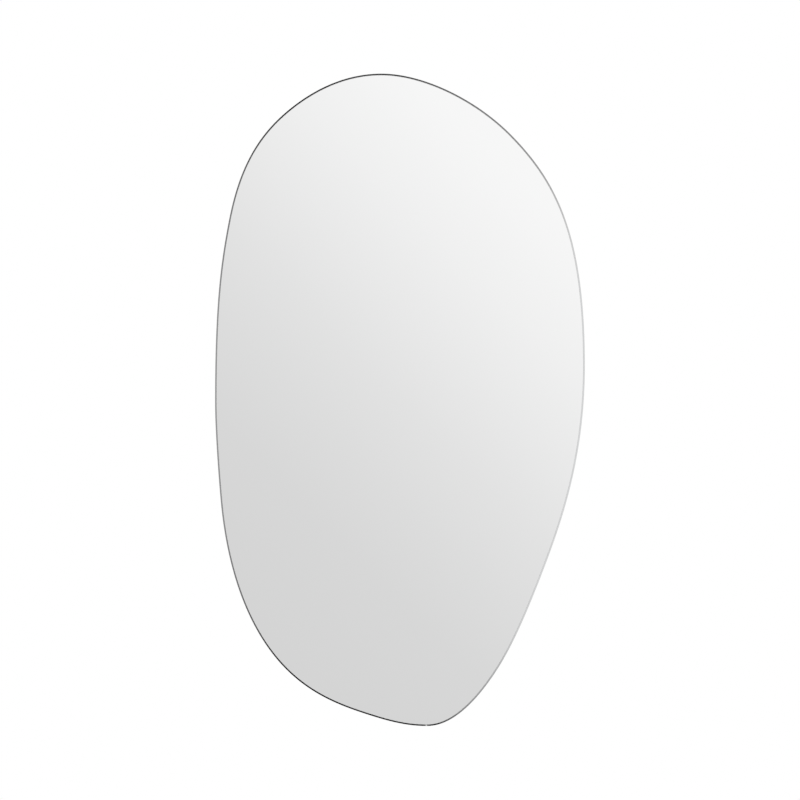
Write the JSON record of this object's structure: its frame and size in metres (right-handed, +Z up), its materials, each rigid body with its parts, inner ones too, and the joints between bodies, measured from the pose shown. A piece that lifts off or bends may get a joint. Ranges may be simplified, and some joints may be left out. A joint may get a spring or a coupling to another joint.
{
  "type": "irregular shaped wall mirror",
  "caption": "Tall pebble shaped wall mirror: flat silvered glass in a slim metal edge band, on a backing board with swinging D-ring hangers and rubber bumpers.",
  "frame": {"origin": "in the plane of the wall, where the bumpers' rear faces touch it, behind the middle of the mirror's width and height", "axes": "+X right and +Z up as seen from the front; the mirror faces -Y and the wall is on the +Y side"},
  "size_m": [0.567, 0.026, 1],
  "materials": {
    "mirror": "silvered float glass, polished edge",
    "band": "satin",
    "hardware": "bright zinc plated",
    "board": "raw MDF",
    "tape": "closed cell foam",
    "bumper": "moulded"
  },
  "bodies": {
    "mirror": {"mirror_glass": "mirror", "edge_band": "band", "band_joint_plate": "hardware", "backing_board": "board", "mounting_tape_1": "tape", "mounting_tape_2": "tape", "mounting_tape_3": "tape", "mounting_tape_4": "tape", "mounting_tape_5": "tape", "mounting_tape_6": "tape", "band_tab_1": "hardware", "band_tab_2": "hardware", "band_tab_3": "hardware", "band_tab_4": "hardware", "band_tab_5": "hardware", "band_tab_6": "hardware", "band_tab_7": "hardware", "band_tab_8": "hardware", "band_tab_screw_1": "hardware", "band_tab_screw_2": "hardware", "band_tab_screw_3": "hardware", "band_tab_screw_4": "hardware", "band_tab_screw_5": "hardware", "band_tab_screw_6": "hardware", "band_tab_screw_7": "hardware", "band_tab_screw_8": "hardware", "hanger_strap_left": "hardware", "hanger_screw_left_upper": "hardware", "hanger_screw_left_lower": "hardware", "hanger_strap_right": "hardware", "hanger_screw_right_upper": "hardware", "hanger_screw_right_lower": "hardware", "wall_bumper_1": "bumper", "wall_bumper_2": "bumper", "wall_bumper_3": "bumper", "wall_bumper_4": "bumper", "bumper_screw_1": "hardware", "bumper_screw_2": "hardware", "bumper_screw_3": "hardware", "bumper_screw_4": "hardware"},
    "ring_left": {"hanger_ring_left": "hardware"},
    "ring_right": {"hanger_ring_right": "hardware"}
  },
  "joints": [
    {"name": "ring_swing_left", "type": "hinge", "parent": "mirror", "child": "ring_left", "pos_m": [-0.13773, -0.007, 0.23], "axis": [1, 0, 0], "range_deg": [0, 180]},
    {"name": "ring_swing_right", "type": "hinge", "parent": "mirror", "child": "ring_right", "pos_m": [0.12227, -0.007, 0.23], "axis": [1, 0, 0], "range_deg": [0, 180]}
  ]
}
